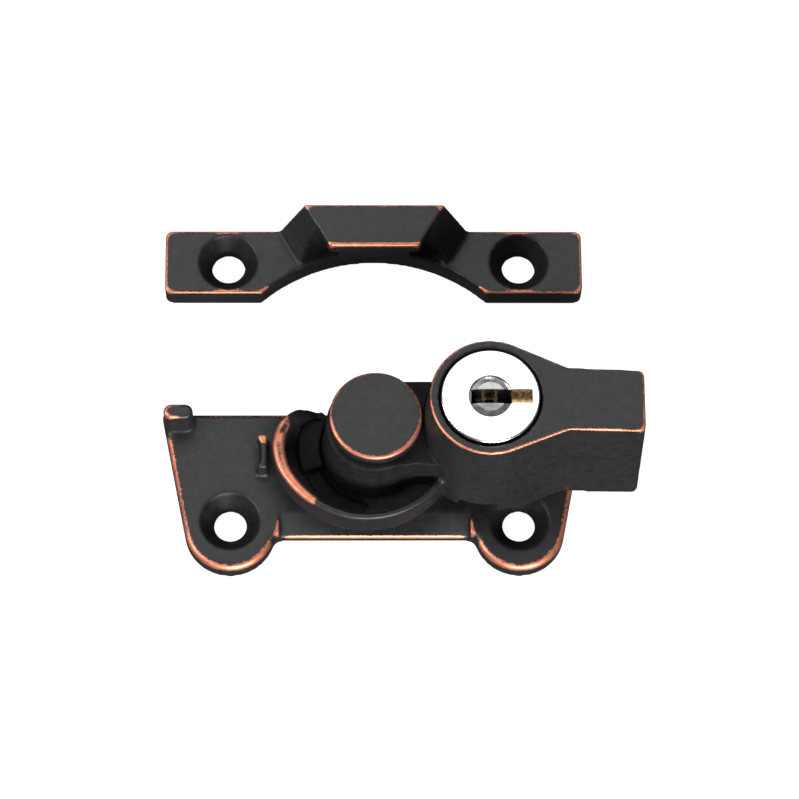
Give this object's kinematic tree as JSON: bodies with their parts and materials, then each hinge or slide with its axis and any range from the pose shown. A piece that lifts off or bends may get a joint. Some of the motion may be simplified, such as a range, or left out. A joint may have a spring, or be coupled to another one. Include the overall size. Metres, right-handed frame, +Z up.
{
  "type": "window sash lock",
  "caption": "Lever sash lock with a key cylinder in its handle, a crescent cam that hooks a bridge keeper, and countersunk ears.",
  "frame": {"origin": "lever pivot axis at the plane that the base stands on", "axes": "+X along the lever when the lock is open, +Y toward the keeper on the other sash, +Z up from the rail"},
  "size_m": [0.0661, 0.0503, 0.0246],
  "materials": {
    "rubbed_bronze": "satin black with copper worn edges",
    "bright_chrome": "bright",
    "satin_nickel": "satin",
    "brass": "machined",
    "zinc_steel": "zinc plated"
  },
  "bodies": {
    "base": {"base_plate": "rubbed_bronze", "pivot_pin": "zinc_steel", "pivot_knob": "rubbed_bronze", "spring_washer": "zinc_steel", "thrust_washer": "zinc_steel"},
    "lever": {"cam_lever": "rubbed_bronze", "lock_barrel": "brass", "lock_face": "bright_chrome", "barrel_pin": "zinc_steel"},
    "plug": {"lock_plug": "satin_nickel", "wafer_1": "brass", "wafer_2": "brass", "wafer_3": "brass", "wafer_4": "brass", "wafer_5": "brass", "wafer_spring_1": "zinc_steel", "wafer_spring_2": "zinc_steel", "wafer_spring_3": "zinc_steel", "wafer_spring_4": "zinc_steel", "wafer_spring_5": "zinc_steel", "plug_clip": "zinc_steel", "locking_cam": "zinc_steel", "cam_screw": "zinc_steel"},
    "keeper": {"keeper": "rubbed_bronze"}
  },
  "joints": [
    {"name": "lever_swing", "type": "hinge", "parent": "base", "child": "lever", "pos_m": [0, 0, 0], "axis": [0, 0, 1], "range_deg": [-170, 0]},
    {"name": "plug_turn", "type": "hinge", "parent": "lever", "child": "plug", "pos_m": [0.0153, 0, 0], "axis": [0, 0, 1], "range_deg": [-90, 0]},
    {"name": "keeper_approach", "type": "slide", "parent": "base", "child": "keeper", "axis": [0, -1, 0], "range_m": [0, 0.0178]}
  ]
}
